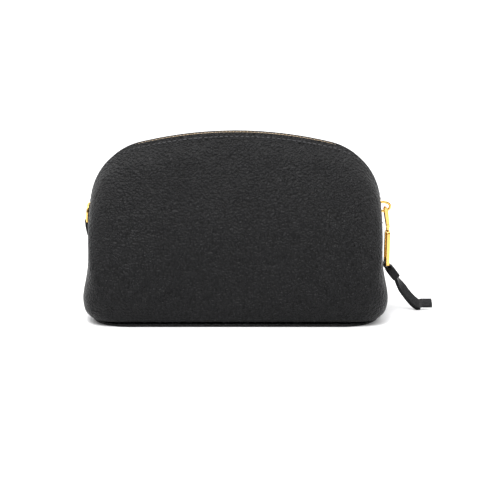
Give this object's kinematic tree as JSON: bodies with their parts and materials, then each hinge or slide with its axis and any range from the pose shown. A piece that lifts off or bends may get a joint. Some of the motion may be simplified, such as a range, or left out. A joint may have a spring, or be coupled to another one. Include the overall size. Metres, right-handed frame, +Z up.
{
  "type": "makeup bag",
  "caption": "Domed zip-around makeup bag in grained leather with a stiff base, brass slider, hanging frame pull with strap, side tabs and a ring.",
  "frame": {"origin": "middle of the base, on the surface that the bag stands on", "axes": "+X along the bag's width towards the zipper pull, -Y out of the front panel, +Z up"},
  "size_m": [0.251, 0.085, 0.13],
  "materials": {
    "grained_leather": "pebbled, semi-matt",
    "strap_leather": "fine grain, semi-matt",
    "lining": "woven",
    "board": "matt",
    "zip_tape": "woven",
    "gold_metal": "polished",
    "gold_teeth": "satin"
  },
  "bodies": {
    "shell": {"front_panel": "grained_leather", "rear_panel": "grained_leather", "left_gusset": "grained_leather", "right_gusset": "grained_leather", "base_panel": "grained_leather", "left_tab": "strap_leather", "right_tab": "strap_leather", "front_lining": "lining", "rear_lining": "lining", "base_lining": "lining", "left_gusset_lining": "lining", "right_gusset_lining": "lining", "inner_pocket": "lining", "base_board": "board", "front_zip_tape": "zip_tape", "rear_zip_tape": "zip_tape", "front_zip_teeth": "gold_teeth", "rear_zip_teeth": "gold_teeth", "left_zip_stop": "gold_teeth", "right_zip_stops": "gold_teeth"},
    "slider": {"slider_body": "gold_metal", "slider_bail": "gold_metal"},
    "link": {"pull_link": "gold_metal", "pull_rivet": "gold_metal"},
    "pull": {"pull_frame": "gold_metal"},
    "strap": {"pull_strap": "strap_leather", "strap_keeper": "strap_leather"},
    "ring": {"left_ring": "gold_metal"}
  },
  "joints": [
    {"name": "slider_travel", "type": "hinge", "parent": "shell", "child": "slider", "pos_m": [0.0555, 0, 0.07658], "axis": [0, -1, 0], "range_deg": [0, 65], "deforming": ["front_zip_teeth", "rear_zip_teeth"]},
    {"name": "link_swing", "type": "hinge", "parent": "slider", "child": "link", "pos_m": [0.10715, 0, 0.07488], "axis": [0, -1, 0], "range_deg": [0, 90]},
    {"name": "pull_swing", "type": "hinge", "parent": "link", "child": "pull", "pos_m": [0.10915, 0, 0.06244], "axis": [0, -1, 0], "range_deg": [0, 60]},
    {"name": "strap_swing", "type": "hinge", "parent": "pull", "child": "strap", "pos_m": [0.10915, 0, 0.03394], "axis": [0, -1, 0], "range_deg": [0, 40]},
    {"name": "ring_swing", "type": "hinge", "parent": "shell", "child": "ring", "pos_m": [-0.1052, 0, 0.0665], "axis": [0, -1, 0], "range_deg": [0, 150]}
  ]
}
